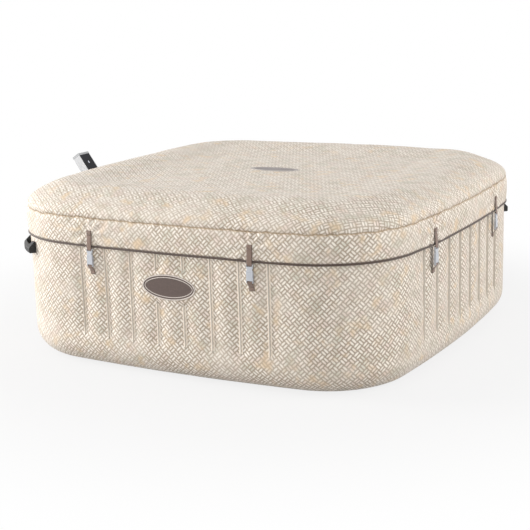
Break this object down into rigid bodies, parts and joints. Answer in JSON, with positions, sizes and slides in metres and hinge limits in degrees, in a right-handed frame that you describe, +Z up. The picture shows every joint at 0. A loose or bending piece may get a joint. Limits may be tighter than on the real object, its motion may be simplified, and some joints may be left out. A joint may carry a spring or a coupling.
{
  "type": "inflatable hot tub",
  "caption": "Square inflatable hot tub with channelled walls, a padded lid held by side-release straps, and a pump unit with a leaning touch panel.",
  "frame": {"origin": "middle of the tub's base, on the ground", "axes": "+Z up, the badge on the -Y wall, the pump unit beyond the -X wall"},
  "size_m": [2.4068, 2.0226, 0.8257],
  "materials": {
    "woven_print": "woven-print laminated sheet, matte",
    "pale_sheet": "plain pale laminated sheet",
    "lid_print": "woven-print coated cloth, padded",
    "foil_lining": "silver reflective lining",
    "air_pad": "clear-grey air-tight sheet",
    "piping": "dark brown bound piping",
    "webbing": "brown woven webbing",
    "buckle": "pale grey moulded plastic, satin",
    "badge": "brown printed badge with a pale rim",
    "handle": "black moulded grip",
    "grey_plastic": "grey moulded plastic",
    "white_plastic": "white moulded plastic, satin",
    "touch_glass": "black glossy touch face",
    "dark_plastic": "dark moulded plastic",
    "filter_paper": "white pleated filter paper",
    "steel": "stainless steel",
    "motor_paint": "painted motor can",
    "foot_rubber": "rubber foot"
  },
  "bodies": {
    "tub": {"outer_wall": "woven_print", "top_deck": "pale_sheet", "inner_wall": "pale_sheet", "base_sheet": "pale_sheet", "wall_webs": "pale_sheet", "air_channel": "pale_sheet", "front_badge": "badge", "carry_handles": "handle", "buckle_receivers": "buckle", "lower_straps": "webbing", "water_fittings": "grey_plastic", "air_fitting": "grey_plastic", "filter_bowl": "grey_plastic", "filter_cartridge": "filter_paper", "outlet_screen": "grey_plastic", "inflation_valve": "grey_plastic", "drain_valve": "grey_plastic", "pump_feet": "foot_rubber", "pump_tray": "dark_plastic", "pump_housing": "white_plastic", "pump_cap": "grey_plastic", "vent_grilles": "dark_plastic", "control_neck": "white_plastic", "touch_glass": "touch_glass", "head_end": "grey_plastic", "neck_screws": "steel", "pump_ports": "dark_plastic", "suction_pipe": "dark_plastic", "return_pipe": "dark_plastic", "pump_volute": "dark_plastic", "pump_motor": "motor_paint", "heater": "steel", "blower_case": "dark_plastic", "blower_motor": "motor_paint", "cord_gland": "dark_plastic"},
    "lid": {"lid_cover": "lid_print", "lid_skirt": "lid_print", "skirt_piping": "piping", "lid_lining": "foil_lining", "lid_air_pad": "air_pad", "pad_valve": "grey_plastic", "lid_badge": "badge", "buckle_clips": "buckle", "upper_straps": "webbing"},
    "inlet_nut": {"inlet_nut": "grey_plastic"},
    "outlet_nut": {"outlet_nut": "grey_plastic"},
    "air_nut": {"air_nut": "grey_plastic"},
    "filter_cap": {"filter_cap": "grey_plastic"},
    "inflation_cap": {"inflation_cap": "grey_plastic"},
    "drain_cap": {"drain_cap": "grey_plastic"},
    "impeller": {"impeller": "grey_plastic"},
    "blower_wheel": {"blower_wheel": "grey_plastic"}
  },
  "joints": [
    {"name": "lid_lift", "type": "slide", "parent": "tub", "child": "lid", "axis": [0, 0, 1], "range_m": [0, 0.45]},
    {"name": "inlet_nut_turn", "type": "hinge", "parent": "tub", "child": "inlet_nut", "pos_m": [-1.032, -0.137, 0.22], "axis": [-1, 0, 0], "range_deg": [0, 540]},
    {"name": "outlet_nut_turn", "type": "hinge", "parent": "tub", "child": "outlet_nut", "pos_m": [-1.032, 0.137, 0.22], "axis": [-1, 0, 0], "range_deg": [0, 540]},
    {"name": "air_nut_turn", "type": "hinge", "parent": "tub", "child": "air_nut", "pos_m": [-1.032, 0, 0.42], "axis": [-1, 0, 0], "range_deg": [0, 540]},
    {"name": "filter_cap_turn", "type": "hinge", "parent": "tub", "child": "filter_cap", "pos_m": [-0.66, -0.137, 0.22], "axis": [1, 0, 0], "range_deg": [0, 60]},
    {"name": "inflation_cap_turn", "type": "hinge", "parent": "tub", "child": "inflation_cap", "pos_m": [-1.018, 0.274, 0.32], "axis": [-1, 0, 0], "range_deg": [0, 540]},
    {"name": "drain_cap_turn", "type": "hinge", "parent": "tub", "child": "drain_cap", "pos_m": [-1.018, -0.274, 0.16], "axis": [-1, 0, 0], "range_deg": [0, 540]},
    {"name": "impeller_spin", "type": "hinge", "parent": "tub", "child": "impeller", "pos_m": [-1.23, -0.0503, 0.092], "axis": [0, 1, 0], "continuous": true},
    {"name": "blower_spin", "type": "hinge", "parent": "tub", "child": "blower_wheel", "pos_m": [-1.13, 0, 0.42], "axis": [-1, 0, 0], "continuous": true}
  ]
}
